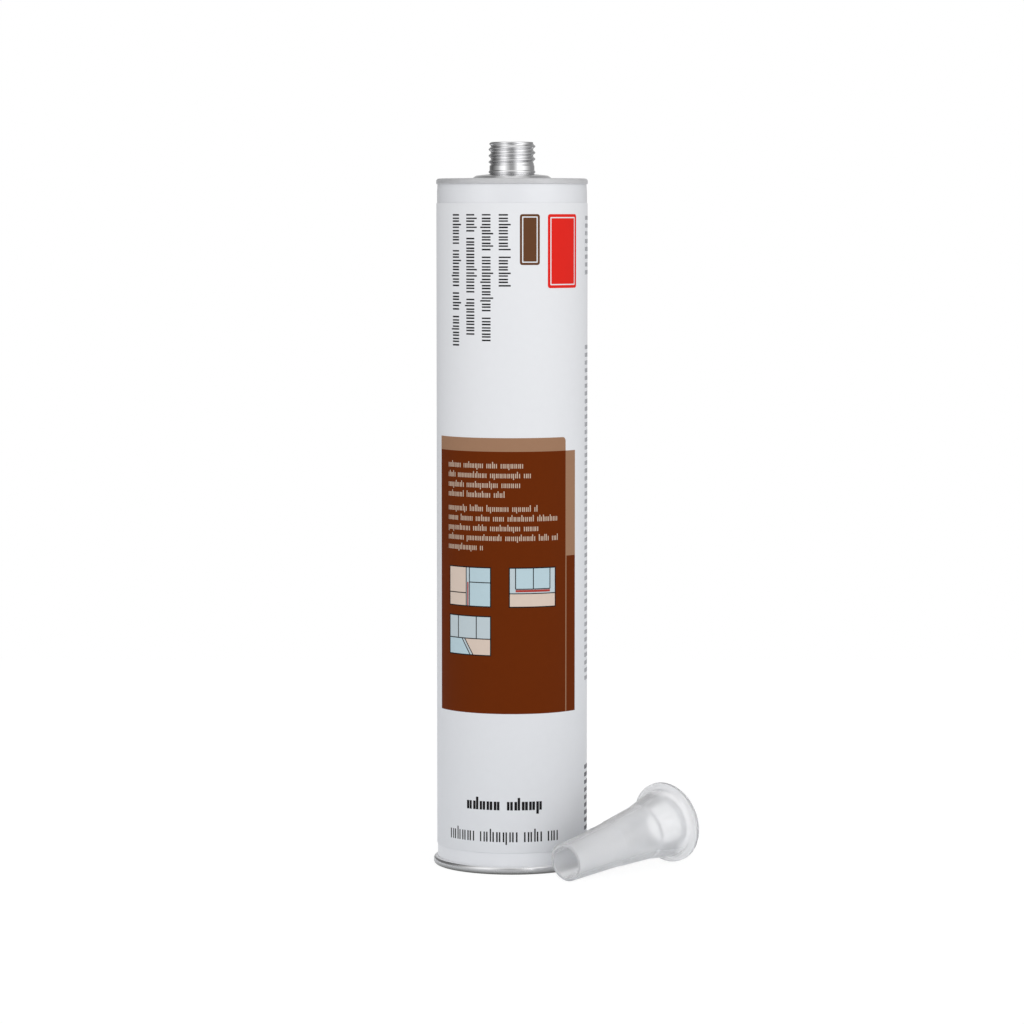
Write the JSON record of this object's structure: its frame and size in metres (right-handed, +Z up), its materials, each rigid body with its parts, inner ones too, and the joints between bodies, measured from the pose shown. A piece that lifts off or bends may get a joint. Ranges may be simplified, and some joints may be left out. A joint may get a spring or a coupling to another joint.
{
  "type": "caulk tube",
  "caption": "Metal caulk tube with a threaded neck, rolled tail and printed label; a plunger slides inside to press the filling out, and its nozzle lies beside it.",
  "frame": {"origin": "middle of the rolled ring that the tube stands on, on the tube's axis", "axes": "+Z up along the tube towards the threaded neck; -Y is the front with the printed panel; +X is to the right seen from the front"},
  "size_m": [0.0834, 0.0646, 0.2257],
  "materials": {
    "lacquer": "white lacquer, satin gloss",
    "bare_aluminium": "bright pressed metal",
    "label_film": "white film, satin gloss",
    "brown_print": "printed, satin gloss",
    "tan_print": "printed, satin gloss",
    "cream_print": "printed, satin gloss",
    "dark_print": "printed, satin gloss",
    "picture_print": "printed, satin gloss",
    "red_print": "printed, satin gloss",
    "grey_print": "printed, satin gloss",
    "plunger_plastic": "moulded, matt",
    "filling": "smooth stiff paste",
    "natural_plastic": "moulded, translucent"
  },
  "bodies": {
    "cartridge": {"cartridge_tube": "lacquer", "threaded_end": "bare_aluminium", "wrap_label": "label_film", "brown_panel": "brown_print", "tan_strips": "tan_print", "panel_print": "cream_print", "picture_frames": "dark_print", "picture_fields": "picture_print", "red_block": "red_print", "brown_block": "brown_print", "top_print": "dark_print", "bold_line": "dark_print", "thin_line": "dark_print", "side_print": "grey_print", "sealant": "filling", "nozzle": "natural_plastic"},
    "plunger_slide": {"plunger": "plunger_plastic"}
  },
  "joints": [
    {"name": "plunger_travel", "type": "slide", "parent": "cartridge", "child": "plunger_slide", "axis": [0, 0, 1], "range_m": [0, 0.176], "deforming": ["sealant"]}
  ]
}
